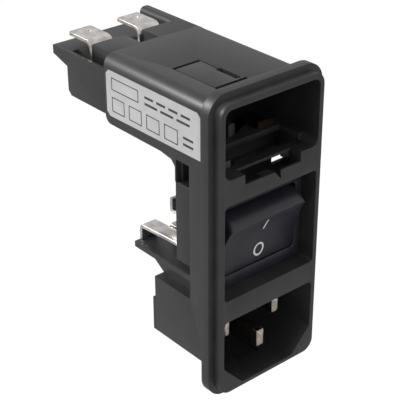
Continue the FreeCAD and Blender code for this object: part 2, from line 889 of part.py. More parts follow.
def make_label():
    """Bare foil label on the left side of the tunnel: three cut corners, and a square one in front."""
    body = new_body("rating_label")
    bottom = "tunnel_bottom + label_lift"
    front_bottom = f"{bottom} + label_front_rise"
    top = "tunnel_top - tunnel_edge"
    back = "tunnel_depth - label_back_margin"
    outline = [("label_front", front_bottom), (back, bottom), (back, top), ("label_front", top)]
    pad(body, "YZ_Plane", outline, "-body_side - label_thickness", "-body_side")
    bevel_edges(
        body,
        "label_corner",
        lambda edge: runs_along(edge, "x") and not lies_at(edge, y="label_front", z=front_bottom),
    )
    return body


# Appliance inlet: the insert that closes the shell, and the three pins it carries


def make_inlet_insert():
    body = new_body("inlet_insert")
    plug = inlet_outline(
        "opening_side - seam_clearance",
        "inlet_floor_width / 2 - seam_clearance / 2",
        "inlet_bottom + seam_clearance",
        "inlet_bevel + seam_clearance / 2",
        "inlet_top - seam_clearance",
    )
    pad(body, "XZ_Plane", plug, "inlet_floor", "shell_back")
    round_edges(body, "inlet_corner", lambda edge: runs_along(edge, "y"))
    plate = inlet_outline(
        "body_side", "shell_floor_side", "shell_bottom", "shell_bevel", "insert_plate_top"
    )
    pad(body, "XZ_Plane", plate, "shell_back", "insert_back")
    for centre, level in (
        ("-pin_spacing / 2", "pin_level"),
        ("pin_spacing / 2", "pin_level"),
        ("0", "earth_level"),
    ):
        hole = rectangle(
            f"{centre} - pin_width / 2",
            f"{centre} + pin_width / 2",
            f"{level} - pin_height / 2",
            f"{level} + pin_height / 2",
        )
        pocket(body, "XZ_Plane", hole, "inlet_floor", "insert_back")
    return body


def make_pin(label, centre, level, setback):
    """Flat contact pin with a bevelled tip, and a thinner tail behind the insert."""
    body = new_body(label)
    tip = f"front + {setback}"
    left = f"{centre} - pin_width / 2"
    right = f"{centre} + pin_width / 2"
    bottom = f"{level} - pin_height / 2"
    top = f"{level} + pin_height / 2"
    pad(body, "XZ_Plane", rectangle(left, right, bottom, top), tip, "insert_back")
    bevel_edges(body, "pin_bevel", lambda edge: lies_at(edge, y=tip))
    tail = rectangle(
        f"{centre} - pin_tail_thickness / 2", f"{centre} + pin_tail_thickness / 2", bottom, top
    )
    pad(body, "XZ_Plane", tail, "insert_back", "insert_back + pin_tail_length")
    return body


# Switch: frame, rocker, plungers, contact levers, terminals and base


def make_switch_frame():
    body = new_body("switch_frame")
    outline = rectangle(
        "-frame_side", "frame_side", "switch_bottom + seam_clearance", "switch_top - seam_clearance"
    )
    pad(body, "XZ_Plane", outline, "frame_front", "frame_back")
    round_edges(body, "switch_corner", lambda edge: runs_along(edge, "y"))
    window = rectangle(
        "-rocker_side - rocker_side_gap",
        "rocker_side + rocker_side_gap",
        "pivot_level - rocker_window",
        "pivot_level + rocker_window",
    )
    pocket(body, "XZ_Plane", window, "frame_front", "frame_back")
    window_side = measure("rocker_side + rocker_side_gap")
    round_edges(
        body,
        "window_corner",
        lambda edge: runs_along(edge, "y") and abs(abs(edge.CenterOfMass.x) - window_side) < 0.01,
    )
    reach = "rocker_side + pivot_length + 2 * pivot_clearance"
    pocket_circle(
        body,
        "YZ_Plane",
        ("pivot_back", "pivot_level"),
        "pivot_radius + pivot_clearance",
        f"-({reach})",
        reach,
    )
    return body


def make_rocker():
    """Rocker with a dished face, ends round about the pivot, a hollow back and two plunger tubes."""
    width = "2 * rocker_side"
    drum = rod("rocker_drum", "x", "rocker_radius", width, "-rocker_side", "0", "0")
    slab = box(
        "rocker_slab",
        "-rocker_side",
        "rocker_side",
        "-rocker_ridge",
        "rocker_back",
        "-rocker_radius",
        "rocker_radius",
    )
    blank = overlap_of("rocker_blank", drum, slab)
    ridge_height = math.sqrt(measure("rocker_radius") ** 2 - measure("rocker_ridge") ** 2)
    dish_depth = measure("rocker_dish")
    dish_radius = (ridge_height**2 + dish_depth**2) / (2 * dish_depth)
    dish = rod(
        "rocker_dish_tool",
        "x",
        dish_radius,
        width,
        "-rocker_side",
        f"rocker_dish - rocker_ridge - {dish_radius}",
        "0",
    )
    hollow = box(
        "rocker_hollow",
        "rocker_wall - rocker_side",
        "rocker_side - rocker_wall",
        "-rocker_roof",
        "rocker_back",
        "rocker_wall - rocker_radius",
        "rocker_radius - rocker_wall",
    )
    outer = cut("rocker_outer", blank, dish)
    document.recompute()
    rounded = document.addObject("Part::Fillet", "rocker_rounded")
    rounded.Base = outer
    radius = measure("rocker_corner")
    side = measure("rocker_side")
    rounded.Edges = [
        (index, radius, radius)
        for index, edge in enumerate(outer.Shape.Edges, 1)
        if abs(abs(edge.CenterOfMass.x) - side) < 0.01
        and abs(edge.CenterOfMass.z) > measure("rocker_cap")
    ]
    shell = cut("rocker_shell", rounded, hollow)
    solids = [shell]
    bores = []
    for side_name, sign in (("left", -1), ("right", 1)):
        across = f"{sign} * pole"
        solids.append(
            rod(
                f"{side_name}_tube",
                "y",
                "plunger_bore + plunger_tube_wall",
                "rocker_roof + plunger_tube_end",
                across,
                "-rocker_roof",
                "0",
            )
        )
        bores.append(
            rod(
                f"{side_name}_bore",
                "y",
                "plunger_bore",
                "rocker_roof + plunger_tube_end",
                across,
                "-rocker_roof",
                "0",
            )
        )
        start = "rocker_side - rocker_wall" if sign > 0 else "-rocker_side - pivot_length"
        solids.append(
            rod(f"{side_name}_pivot", "x", "pivot_radius", "rocker_wall + pivot_length", start, "0", "0")
        )
    rocker = cut("rocker_piece", join("rocker_solid", *solids), *bores)
    set_down(rocker, "rocker_tilt", "pivot_back", "pivot_level")
    return keep(rocker, "rocker")


def make_plunger(label, sign):
    """Round plunger with a domed tip, sliding in the rocker's tube."""
    across = f"{sign} * pole"
    shank = rod(
        f"{label}_shank",
        "y",
        "plunger_radius",
        "plunger_length",
        across,
        "plunger_reach - plunger_radius - plunger_length",
        "0",
    )
    dome = document.addObject("Part::Sphere", f"{label}_dome")
    bind(dome, "Radius", "plunger_radius")
    bind(dome, "Placement.Base.x", across)
    bind(dome, "Placement.Base.y", "plunger_reach - plunger_radius")
    plunger = join(f"{label}_piece", shank, dome)
    set_down(plunger, "rocker_tilt", "pivot_back", "pivot_level")
    return keep(plunger, label)


def make_spring(label, sign):
    """Small compression spring between the tube's bottom and the plunger."""
    wire = measure("spring_wire")
    bottom = -measure("rocker_roof") + wire
    top = measure("plunger_reach - plunger_radius - plunger_length") - wire
    radius = measure("spring_radius")
    pitch = (top - bottom) / measure("spring_turns")
    path = Part.makeHelix(pitch, top - bottom, radius)
    section = Part.Wire(
        Part.makeCircle(wire, FreeCAD.Vector(radius, 0, 0), FreeCAD.Vector(0, radius, pitch / (2 * math.pi)))
    )
    coil = Part.Wire(path.Edges).makePipeShell([section], True, True)
    spring = document.addObject("Part::Feature", f"{label}_piece")
    spring.Shape = coil
    tilt = FreeCAD.Rotation(FreeCAD.Vector(1, 0, 0), measure("rocker_tilt"))
    pivot = FreeCAD.Vector(0, measure("pivot_back"), measure("pivot_level"))
    seat = FreeCAD.Vector(sign * measure("pole"), bottom, 0)
    spring.Placement = FreeCAD.Placement(pivot, tilt) * FreeCAD.Placement(seat, TURN_TO["y"])
    return keep(spring, label)


def make_lever(label, sign):
    """Contact lever that tips on a round bead, with a contact at its lower end."""
    across = f"{sign} * pole"
    plate = box(
        f"{label}_plate",
        f"{across} - lever_width / 2",
        f"{across} + lever_width / 2",
        "-lever_thickness",
        "0",
        "-lever_length / 2",
        "lever_length / 2",
    )
    left = f"{across} - lever_width / 2"
    bead = rod(f"{label}_bead", "x", "lever_bead_radius", "lever_width", left, "0", "0")
    contact = rod(
        f"{label}_contact", "y", "contact_radius", "contact_height", across, "0", "-contact_reach"
    )
    lever = join(f"{label}_piece", plate, bead, contact)
    set_down(lever, "-lever_tilt", "lever_back", "pivot_level")
    return keep(lever, label)


def make_middle_terminal(label, sign):
    """Blade with a hollow for the lever's bead, out through the base and hooked up at its end."""
    body = new_body(label)
    left = f"{sign} * pole - terminal_width / 2"
    bottom = "pivot_level - terminal_thickness / 2"
    top = "pivot_level + terminal_thickness / 2"
    end = "base_back + terminal_reach"
    profile = [
        ("lever_back + lever_seat_gap", bottom),
        (end, bottom),
        (end, f"{bottom} + terminal_hook - terminal_thickness"),
        (f"{end} - terminal_thickness", f"{bottom} + terminal_hook - terminal_thickness"),
        (f"{end} - terminal_thickness", top),
        ("lever_back + lever_seat_gap", top),
    ]
    pad(body, "YZ_Plane", profile, left, f"{left} + terminal_width")
    pocket_circle(
        body,
        "YZ_Plane",
        ("lever_back", "pivot_level"),
        "lever_bead_radius + lever_seat_gap",
        left,
        f"{left} + terminal_width",
    )
    return body


def make_contact_terminal(label, sign):
    """Terminal with the fixed contact under the lever's lower end, hooked down behind the base."""
    body = new_body(label)
    left = f"{sign} * pole - terminal_width / 2"
    top = "contact_level + terminal_thickness / 2"
    bottom = "contact_level - terminal_thickness / 2"
    end = "base_back + terminal_reach"
    profile = [
        ("contact_back", bottom),
        (f"{end} - terminal_thickness", bottom),
        (f"{end} - terminal_thickness", f"{top} - terminal_hook"),
        (end, f"{top} - terminal_hook"),
        (end, top),
        ("contact_back", top),
    ]
    pad(body, "YZ_Plane", profile, left, f"{left} + terminal_width")
    return body


def make_switch_base():
    """Tray behind the chamber, open to the front, with slots for terminals and bridge strips."""
    body = new_body("switch_base")
    outline = [
        ("-base_side", "base_bottom"),
        ("base_side", "base_bottom"),
        ("base_side", "base_top - base_notch_height"),
        ("base_side - base_notch_width", "base_top - base_notch_height"),
        ("base_side - base_notch_width", "base_top"),
        ("-base_side", "base_top"),
    ]
    pad(body, "XZ_Plane", outline, "trunk_back", "base_back")
    cavity = rectangle(
        "base_cavity_inset - base_side",
        "base_side - base_cavity_inset",
        "pivot_level - base_cavity_height / 2",
        "pivot_level + base_cavity_height / 2",
    )
    pocket(body, "XZ_Plane", cavity, "trunk_back", "cavity_back")
    for sign in (-1, 1):
        left = f"{sign} * pole - terminal_width / 2"
        for level in ("pivot_level", "contact_level"):
            slot = rectangle(
                left,
                f"{left} + terminal_width",
                f"{level} - terminal_thickness / 2",
                f"{level} + terminal_thickness / 2",
            )
            pocket(body, "XZ_Plane", slot, "cavity_back", "base_back")
        strip_left = "-strip_side" if sign < 0 else "strip_side - strip_width"
        strip_slot = rectangle(
            strip_left, f"{strip_left} + strip_width", "strip_top - strip_thickness", "strip_top"
        )
        pocket(body, "XZ_Plane", strip_slot, "base_back - strip_insertion", "base_back")
    return body


def make_bridge_strip(label, sign):
    """Flat strip out of the switch base, sloping a little down and bent down to the shelf."""
    body = new_body(label)
    strip_left = "-strip_side" if sign < 0 else "strip_side - strip_width"
    bend = "shelf_back - strip_slope_length"
    low_top = "strip_top - strip_slope"
    profile = [
        ("base_back - strip_insertion", "strip_top"),
        ("base_back - strip_insertion", "strip_top - strip_thickness"),
        (bend, "strip_top - strip_thickness"),
        ("shelf_back - strip_thickness", f"{low_top} - strip_thickness"),
        ("shelf_back - strip_thickness", "shelf_top"),
        ("shelf_back", "shelf_top"),
        ("shelf_back", low_top),
        (bend, "strip_top"),
    ]
    pad(body, "YZ_Plane", profile, strip_left, f"{strip_left} + strip_width")
    round_edges(
        body, "strip_bend", lambda edge: runs_along(edge, "x") and lies_at(edge, y="shelf_back", z=low_top)
    )
    return body



def make_all():
    make_front_housing()
    make_terminal_block()
    make_label()
    make_inlet_insert()
    make_pin("line_pin", "-pin_spacing / 2", "pin_level", "pin_setback")
    make_pin("neutral_pin", "pin_spacing / 2", "pin_level", "pin_setback")
    make_pin("earth_pin", "0", "earth_level", "earth_setback")
    make_switch_frame()
    make_rocker()
    make_switch_base()
    for side_name, sign in (("left", -1), ("right", 1)):
        make_plunger(f"{side_name}_plunger", sign)
        make_spring(f"{side_name}_plunger_spring", sign)
        make_lever(f"{side_name}_contact_lever", sign)
        make_middle_terminal(f"{side_name}_middle_terminal", sign)
        make_contact_terminal(f"{side_name}_contact_terminal", sign)
        make_bridge_strip(f"{side_name}_bridge_strip", sign)
        make_tab(f"{side_name}_tab", f"{side_name}_tab_middle")
        make_fuse_clip(f"{side_name}_fuse_clip", sign)


def check_document():
    document.recompute()
    for thing in document.Objects:
        if "Invalid" in thing.State or "Error" in thing.State:
            raise RuntimeError(f"{thing.Label} failed: {thing.State}")
    for piece in PIECES:
        if piece.Shape.isNull() or not piece.Shape.isValid():
            raise RuntimeError(f"{piece.Label} has no valid shape")
        if len(piece.Shape.Solids) != 1:
            raise RuntimeError(f"{piece.Label} has {len(piece.Shape.Solids)} solids")


def write_pieces():
    os.makedirs("parts", exist_ok=True)
    for piece in PIECES:
        piece.Shape.exportStep(f"parts/{piece.Label}.step")
        box_of = piece.Shape.BoundBox
        print(
            f"{piece.Label}: {piece.Shape.Volume:.1f} mm3,"
            f" X {box_of.XMin:.2f}..{box_of.XMax:.2f}"
            f" Y {box_of.YMin:.2f}..{box_of.YMax:.2f}"
            f" Z {box_of.ZMin:.2f}..{box_of.ZMax:.2f}"
        )


make_all()
check_document()
write_pieces()
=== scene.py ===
import json
import math
import bmesh
import bpy
from mathutils import Matrix, Vector
from mathutils.bvhtree import BVHTree


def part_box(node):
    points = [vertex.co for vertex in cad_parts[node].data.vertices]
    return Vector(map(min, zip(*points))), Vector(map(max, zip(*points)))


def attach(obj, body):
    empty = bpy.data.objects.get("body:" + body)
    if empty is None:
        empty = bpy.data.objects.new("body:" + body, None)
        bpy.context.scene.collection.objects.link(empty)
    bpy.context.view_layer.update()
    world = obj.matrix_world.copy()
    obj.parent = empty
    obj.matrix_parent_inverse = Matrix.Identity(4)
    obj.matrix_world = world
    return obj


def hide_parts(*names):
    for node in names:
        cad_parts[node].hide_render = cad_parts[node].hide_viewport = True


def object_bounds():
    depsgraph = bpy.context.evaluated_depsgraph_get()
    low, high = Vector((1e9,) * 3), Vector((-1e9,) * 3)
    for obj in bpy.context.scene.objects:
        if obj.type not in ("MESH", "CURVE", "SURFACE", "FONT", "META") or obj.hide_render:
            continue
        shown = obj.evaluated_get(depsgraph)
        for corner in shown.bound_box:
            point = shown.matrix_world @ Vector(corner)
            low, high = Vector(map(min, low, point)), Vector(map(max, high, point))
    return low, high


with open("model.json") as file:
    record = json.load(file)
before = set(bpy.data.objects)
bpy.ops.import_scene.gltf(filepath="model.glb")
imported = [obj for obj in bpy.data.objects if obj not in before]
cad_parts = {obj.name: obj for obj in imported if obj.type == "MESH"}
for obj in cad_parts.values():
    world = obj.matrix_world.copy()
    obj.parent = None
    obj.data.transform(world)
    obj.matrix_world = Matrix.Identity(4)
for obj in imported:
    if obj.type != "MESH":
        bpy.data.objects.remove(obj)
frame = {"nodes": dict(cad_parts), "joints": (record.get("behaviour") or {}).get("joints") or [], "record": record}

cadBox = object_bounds()
scene = bpy.context.scene
mm = 0.001

# Camera, from the photo's viewing angle: degrees and millimetres
view = {
    "azimuth": -40.22,
    "elevation": 28.92,
    "roll": -0.31,
    "distance": 230.64,
    "target": (-9.99, 5.8, 8.39),
    "focal": 105.48,
    "sensor": 36.0,
}

# Plain studio, in millimetres; the module is held up, so the floor lies well below it. The floor's
# glow is the share of plain white that the camera sees in it, and the sky is as strong as its
# mirror value in reflections and as its strength elsewhere.
studio = {
    "floorDrop": 70.0,
    "floorHalf": 2500.0,
    "floorGlow": 0.85,
    "floorWhite": 1.1,
    "floorColor": "#e8e8e8",
    "background": "#ffffff",
    "skyStrength": 0.5,
    "skyMirror": 0.8,
    "aim": (0.0, 10.0, 0.0),
    # The lamp marked sheen shows in reflections alone: it draws the light line on the top edges
    "lamps": [
        {"name": "keyLamp", "power": 0.75, "size": 420.0, "place": (-300.0, 60.0, 620.0)},
        {"name": "frontLamp", "power": 0.75, "size": 520.0, "place": (-60.0, -640.0, 260.0)},
        {"name": "sideLamp", "power": 1.15, "size": 300.0, "place": (-560.0, 60.0, 400.0)},
        {
            "name": "edgeLamp",
            "power": 4.0,
            "size": 90.0,
            "place": (-385.0, 430.0, 310.0),
            "sheen": True,
        },
    ],
}


# The sRGB curve, from a hex colour to the linear values that the shaders take
def linear(hexColor):
    parts = [int(hexColor[place:place + 2], 16) / 255 for place in (1, 3, 5)]
    return [
        part / 12.92 if part <= 0.04045 else ((part + 0.055) / 1.055) ** 2.4 for part in parts
    ] + [1.0]


def addNode(tree, kind, inputs=None, **settings):
    node = tree.nodes.new(kind)
    for name, value in settings.items():
        setattr(node, name, value)
    for socket, value in (inputs or {}).items():
        if isinstance(value, bpy.types.NodeSocket):
            tree.links.new(value, node.inputs[socket])
        else:
            node.inputs[socket].default_value = value
    return node


def objectNoise(tree, size, detail, stretch=(1, 1, 1)):
    place = addNode(tree, "ShaderNodeTexCoord")
    spread = addNode(
        tree, "ShaderNodeMapping", {"Vector": place.outputs["Object"], "Scale": stretch}
    )
    noise = addNode(
        tree,
        "ShaderNodeTexNoise",
        {"Vector": spread.outputs["Vector"], "Scale": 1 / (size * mm), "Detail": detail},
    )
    return noise.outputs["Fac"]


colorStops = (0.35, 0.65)


def blendColors(tree, factor, colors):
    ramp = addNode(tree, "ShaderNodeValToRGB", {"Fac": factor})
    for stop, position, color in zip(ramp.color_ramp.elements, colorStops, colors):
        stop.position = position
        stop.color = linear(color)
    return ramp.outputs["Color"]


# Surfaces. The colours run from dark to light over the cloud, and the bump, in millimetres of
# depth, follows the grain or else the cloud. Cloud and grain each have a size in millimetres,
# a detail and sometimes a stretch.
finishes = {
    # Glass-filled thermoset, moulded in a lightly eroded tool: satin black, slightly warm and
    # cloudy, with a fine grain that breaks up the reflections
    "mouldedThermoset": {
        "colors": ("#222223", "#2b2b2a"),
        "cloud": (6.0, 4.0),
        "grain": (0.35, 2.0),
        "bump": 0.012,
        "rough": 0.46,
        "roughSpread": (-0.05, 0.06),
    },
    # Polyamide switch parts from a polished tool: bluish black and a little smoother
    "polishedPolyamide": {
        "colors": ("#202027", "#272730"),
        "cloud": (4.0, 3.0),
        "grain": (0.25, 2.0),
        "bump": 0.005,
        "rough": 0.36,
    },
    # Polyamide of the switch base, as it comes from the tool: black and duller
    "mouldedPolyamide": {
        "colors": ("#1b1b1d", "#232325"),
        "cloud": (4.0, 3.0),
        "grain": (0.25, 2.0),
        "bump": 0.005,
        "rough": 0.45,
    },
    # Tinned brass strip, stamped and bent: dull silver with rolling marks along the strip
    "tinnedBrass": {
        "colors": ("#b2ada9", "#dad6d3"),
        "cloud": (2.2, 4.0),
        "grain": (0.3, 3.0, (6, 0.5, 1)),
        "bump": 0.008,
        "rough": 0.34,
        "metal": 1.0,
    },
    # Spring bronze of the fuse clips, painted dark brown as painted shade for their place deep in the fuse bay,
    # with the same rolling marks
    "bronzeWithPaintedShade": {
        "colors": ("#3f352a", "#4d4236"),
        "cloud": (2.2, 4.0),
        "grain": (0.3, 3.0, (6, 0.5, 1)),
        "bump": 0.008,
        "rough": 0.5,
        "metal": 1.0,
    },
    # Nickel-plated brass pins: smoother than the strip, a little warm
    "nickelPlate": {
        "colors": ("#a09892", "#c1b9b2"),
        "cloud": (1.5, 3.0),
        "bump": 0.006,
        "rough": 0.26,
        "metal": 1.0,
    },
    # Rolled brass of the contact levers: yellow metal with fine rolling marks
    "rolledBrass": {
        "colors": ("#b08a4a", "#c9a566"),
        "cloud": (0.4, 3.0, (8, 1, 1)),
        "rough": 0.35,
        "metal": 1.0,
    },
    # Drawn steel wire of the springs: grey metal
    "drawnSteel": {
        "colors": ("#8d8e90", "#b4b5b7"),
        "cloud": (0.3, 2.0),
        "rough": 0.3,
        "metal": 1.0,
    },
    # Natural acetal of the plungers: milky white and waxy
    "naturalAcetal": {
        "colors": ("#dfdcd2", "#ece9e0"),
        "cloud": (1.0, 2.0),
        "rough": 0.4,
    },
    # Polyester label with a silver face: even light grey with a soft metallic sheen
    "silverPolyester": {
        "colors": ("#cacaca", "#d3d3d2"),
        "cloud": (5.0, 3.0),
        "grain": (0.25, 2.0, (1, 0.15, 3)),
        "bump": 0.004,
        "rough": 0.5,
        "metal": 0.25,
    },
    # Screen-printed ink on the rocker: flat, matt and opaque white
    "whiteInk": {
        "colors": ("#e6e6e8", "#e6e6e8"),
        "cloud": (0.3, 2.0),
        "bump": 0.003,
        "rough": 0.55,
    },
    # Screen-printed ink on the label: the same in dark grey
    "greyInk": {
        "colors": ("#303033", "#303033"),
        "cloud": (0.3, 2.0),
        "bump": 0.003,
        "rough": 0.55,
    },
}


def makeMaterial(name):
    finish = finishes[name]
    material = bpy.data.materials.new(name)
    material.use_nodes = True
    tree = material.node_tree
    tree.nodes.clear()
    cloud = objectNoise(tree, *finish["cloud"])
    surface = {
        "Base Color": blendColors(tree, cloud, finish["colors"]),
        "Metallic": finish.get("metal", 0.0),
        "Roughness": finish["rough"],
    }
    if "roughSpread" in finish:
        less, more = finish["roughSpread"]
        rough = addNode(
            tree,
            "ShaderNodeMapRange",
            {"Value": cloud, "To Min": finish["rough"] + less, "To Max": finish["rough"] + more},
        )
        surface["Roughness"] = rough.outputs["Result"]
    if "bump" in finish:
        height = objectNoise(tree, *finish["grain"]) if "grain" in finish else cloud
        bump = addNode(tree, "ShaderNodeBump", {"Height": height, "Distance": finish["bump"] * mm})
        surface["Normal"] = bump.outputs["Normal"]
    shader = addNode(tree, "ShaderNodeBsdfPrincipled", surface)
    addNode(tree, "ShaderNodeOutputMaterial", {"Surface": shader.outputs["BSDF"]})
    return material


materials = {name: makeMaterial(name) for name in finishes}
print("materials made")

# The material of each node, by the end of the node's name
materialOfEnding = {
    "housing": "mouldedThermoset",
    "block": "mouldedThermoset",
    "insert": "mouldedThermoset",
    "rocker": "polishedPolyamide",
    "frame": "polishedPolyamide",
    "base": "mouldedPolyamide",
    "label": "silverPolyester",
    "pin": "nickelPlate",
    # The fuse clips take the bronze whose dark colour is painted shade
    "clip": "bronzeWithPaintedShade",
    "lever": "rolledBrass",
    "spring": "drawnSteel",
    "plunger": "naturalAcetal",
    "terminal": "tinnedBrass",
    "strip": "tinnedBrass",
    "tab": "tinnedBrass",
}


def materialFor(node):
    return materials[materialOfEnding[node.split("_")[-1]]]


def dress(thing, material):
    thing.data.materials.clear()
    thing.data.materials.append(material)


def bodyOf(node):
    return next(
        body for body, members in frame["record"]["behaviour"]["bodies"].items() if node in members
    )


for nodeName, nodeObject in frame["nodes"].items():
    dress(nodeObject, materialFor(nodeName))


# Edge radius of the rounded copy of each moulded or stamped piece, in millimetres
edges = {
    "front_housing": 0.26,
    "terminal_block": 0.42,
    "switch_frame": 0.2,
    "rocker": 0.3,
    "switch_base": 0.2,
    "left_tab": 0.12,
    "right_tab": 0.12,
    "line_pin": 0.15,
    "neutral_pin": 0.15,
    "earth_pin": 0.15,
    "left_bridge_strip": 0.12,
    "right_bridge_strip": 0.12,
}

# Rounder outer edges of the flange and of the bezel before it, in millimetres
rims = {
    "flange": {"level": -2.2, "halfWidth": 14.75, "halfHeight": 34.13, "radius": 0.75},
    "bezel": {"level": -4.2, "halfWidth": 13.3, "halfHeight": 32.68, "radius": 0.55},
}
rimCorner = 4.5
rimTolerance = {"level": 0.02, "side": 0.05}

# How the edges are found and rounded: angles in degrees, lengths in millimetres. The bevel takes
# each edge's radius as a share of the unit.
rounding = {
    "weld": 0.002,
    "flatAngle": 0.5,
    "edgeAngle": 38,
    "shadingAngle": 40,
    "segments": 3,
    "unit": 1.0,
}


# The radius of an edge on the outline of a rim or in its corner, and 0 for any other edge
def rimRadius(edge):
    middle = (edge.verts[0].co + edge.verts[1].co) / 2 / mm
    for rim in rims.values():
        onLevel = all(
            abs(vert.co.y / mm - rim["level"]) < rimTolerance["level"] for vert in edge.verts
        )
        pastWidth = abs(middle.x) - rim["halfWidth"]
        pastHeight = abs(middle.z) - rim["halfHeight"]
        inCorner = min(pastWidth, pastHeight) > -rimCorner
        onSide = max(pastWidth, pastHeight) > -rimTolerance["side"]
        if onLevel and (onSide or inCorner):
            return rim["radius"]
    return 0.0


# A copy of the node's solid with rounded edges, which takes the node's place
def softenEdges(node, radius):
    mesh = frame["nodes"][node].data.copy()
    if "custom_normal" in mesh.attributes:
        mesh.attributes.remove(mesh.attributes["custom_normal"])
    work = bmesh.new()
    work.from_mesh(mesh)
    bmesh.ops.remove_doubles(work, verts=work.verts, dist=rounding["weld"] * mm)
    bmesh.ops.dissolve_limit(
        work,
        angle_limit=math.radians(rounding["flatAngle"]),
        verts=work.verts,
        edges=work.edges,
    )
    weights = work.edges.layers.float.new("bevel_weight_edge")
    least = math.radians(rounding["edgeAngle"])
    for edge in work.edges:
        if len(edge.link_faces) == 2 and edge.calc_face_angle() > least:
            rim = rimRadius(edge) if node == "front_housing" else 0.0
            edge[weights] = max(rim, radius) / rounding["unit"]
    work.to_mesh(mesh)
    work.free()
    rough = bpy.data.objects.new("rough", mesh)
    scene.collection.objects.link(rough)
    bevel = rough.modifiers.new("edgeRadius", "BEVEL")
    bevel.width = rounding["unit"] * mm
    bevel.segments = rounding["segments"]
    bevel.limit_method = "WEIGHT"
    bevel.use_clamp_overlap = True
    bevel.miter_outer = "MITER_ARC"
    finished = bpy.data.meshes.new_from_object(
        rough.evaluated_get(bpy.context.evaluated_depsgraph_get())
    )
    bpy.data.objects.remove(rough)
    finished.shade_smooth()
    finished.set_sharp_from_angle(angle=math.radians(rounding["shadingAngle"]))
    piece = bpy.data.objects.new(f"{node}_finished", finished)
    scene.collection.objects.link(piece)
    dress(piece, materialFor(node))
    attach(piece, bodyOf(node))
    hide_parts(node)


for nodeName, edgeRadius in edges.items():
    softenEdges(nodeName, edgeRadius)
print("edges rounded")


# Off and on marks printed on the rocker, in its own frame: millimetres across and up from the
# pivot, and the rocker's tilt at rest in degrees. Each mark starts a little under the surface.
marks = {
    "ringCentre": (0.2, -3.6),
    "ringHalf": (1.18, 1.42),
    "ringStroke": 0.42,
    "ringSteps": 48,
    "barLow": (0.0, 2.05),
    "barHigh": (0.25, 4.75),
    "barStroke": 0.38,
    "barSteps": 8,
    "thickness": 0.03,
    "depth": 0.03,
    "rayStart": -12.0,
    "tilt": 17.3,
}
rockerJoint = next(joint for joint in frame["joints"] if joint["name"] == "rocker_tilt")
pivot = Vector(rockerJoint["pos_m"])
rockerTurn = Matrix.Rotation(math.radians(marks["tilt"]), 4, "X")
rockerMesh = frame["nodes"]["rocker"].data
rockerTree = BVHTree.FromPolygons(
    [vertex.co for vertex in rockerMesh.vertices],
    [tuple(polygon.vertices) for polygon in rockerMesh.polygons],
)


# The point of the rocker's face behind the given place, lifted off the face
def onRocker(across, up, lift):
    start = pivot + rockerTurn @ (Vector((across, marks["rayStart"], up)) * mm)
    inward = rockerTurn.to_3x3() @ Vector((0, 1, 0))
    hit = rockerTree.ray_cast(start, inward)[0]
    return hit - inward * (lift * mm)


# A thin closed strip along the middle line, half its stroke to each side, lying on the rocker
def printedBand(name, middles, sides, stroke, closed):
    low = -marks["depth"]
    high = marks["thickness"]
    section = ((-stroke / 2, low), (stroke / 2, low), (stroke / 2, high), (-stroke / 2, high))
    work = bmesh.new()
    rings = []
    for (across, up), (sideAcross, sideUp) in zip(middles, sides):
        ring = []
        for reach, lift in section:
            x = across + sideAcross * reach
            z = up + sideUp * reach
            ring.append(work.verts.new(onRocker(x, z, lift)))
        rings.append(ring)
    count = len(rings)
    for index in range(count if closed else count - 1):
        first = rings[index]
        second = rings[(index + 1) % count]
        for corner in range(4):
            following = (corner + 1) % 4
            work.faces.new((first[corner], first[following], second[following], second[corner]))
    if not closed:
        work.faces.new(rings[0])
        work.faces.new(list(reversed(rings[-1])))
    bmesh.ops.recalc_face_normals(work, faces=work.faces)
    mesh = bpy.data.meshes.new(name)
    work.to_mesh(mesh)
    work.free()
    piece = bpy.data.objects.new(name, mesh)
    scene.collection.objects.link(piece)
    dress(piece, materials["whiteInk"])
    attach(piece, "rocker")


def printRing():
    steps = marks["ringSteps"]
    centreX, centreZ = marks["ringCentre"]
    halfX, halfZ = marks["ringHalf"]
    angles = [2 * math.pi * step / steps for step in range(steps)]
    middles = [(centreX + halfX * math.cos(a), centreZ + halfZ * math.sin(a)) for a in angles]
    sides = []
    for angle in angles:
        outward = Vector((math.cos(angle) / halfX, math.sin(angle) / halfZ)).normalized()
        sides.append((outward.x, outward.y))
    printedBand("ringMark", middles, sides, marks["ringStroke"], True)


def printBar():
    low = Vector(marks["barLow"])
    high = Vector(marks["barHigh"])
    along = (high - low).normalized()
    side = (-along.y, along.x)
    steps = marks["barSteps"]
    middles = [tuple(low.lerp(high, step / steps)) for step in range(steps + 1)]
    printedBand("barMark", middles, [side] * len(middles), marks["barStroke"], False)


printRing()
printBar()
print("rocker marks printed")


# Plain fields printed on the label, in place of its text: millimetres from the label's rear end to
# a row's start and from its lower edge to the row's middle line. A row with a frame height has
# outlines, and any other row has bars.
labelPrint = {
    "thickness": 0.02,
    "stroke": 0.3,
    "barHeight": 0.5,
    "rows": [
        {"start": 1.9, "level": 7.4, "count": 1, "pitch": 0.0, "length": 8.6, "frameHeight": 2.5},
        {"start": 12.6, "level": 8.0, "count": 4, "pitch": 3.7, "length": 2.7},
        {"start": 12.6, "level": 6.6, "count": 3, "pitch": 4.9, "length": 3.9},
        {"start": 1.9, "level": 2.9, "count": 4, "pitch": 5.6, "length": 3.9, "frameHeight": 3.0},
        {"start": 24.3, "level": 3.6, "count": 1, "pitch": 0.0, "length": 3.0},
        {"start": 24.3, "level": 2.2, "count": 1, "pitch": 0.0, "length": 3.0},
    ],
}


